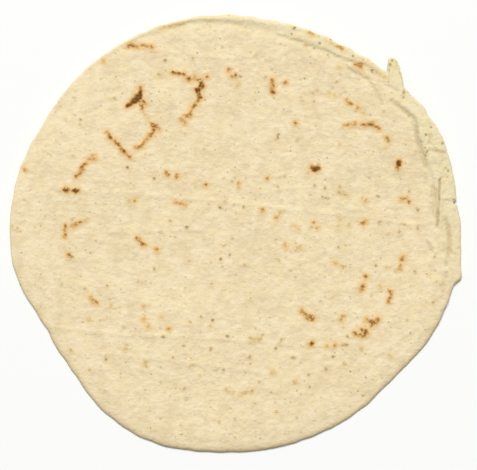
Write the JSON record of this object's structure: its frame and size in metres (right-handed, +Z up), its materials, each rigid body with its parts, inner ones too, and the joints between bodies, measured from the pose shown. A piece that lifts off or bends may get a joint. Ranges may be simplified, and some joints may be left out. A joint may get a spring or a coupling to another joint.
{
  "type": "corn tortilla",
  "caption": "Thin round flatbread of pressed pale maize dough, toasted in small brown marks, with an uneven rim that is turned over at the right, lying flat.",
  "frame": {"origin": "middle of the outline's bounding box, on the surface the tortilla lies on", "axes": "+Z up out of the toasted face that is shown, +X across the tortilla, which is a little wider that way, +Y up the tortilla as it is shown"},
  "size_m": [0.154, 0.1492, 0.0036],
  "materials": {
    "dough": "matte, dry and slightly mealy"
  },
  "bodies": {
    "root": {"tortilla": "dough"}
  },
  "joints": []
}
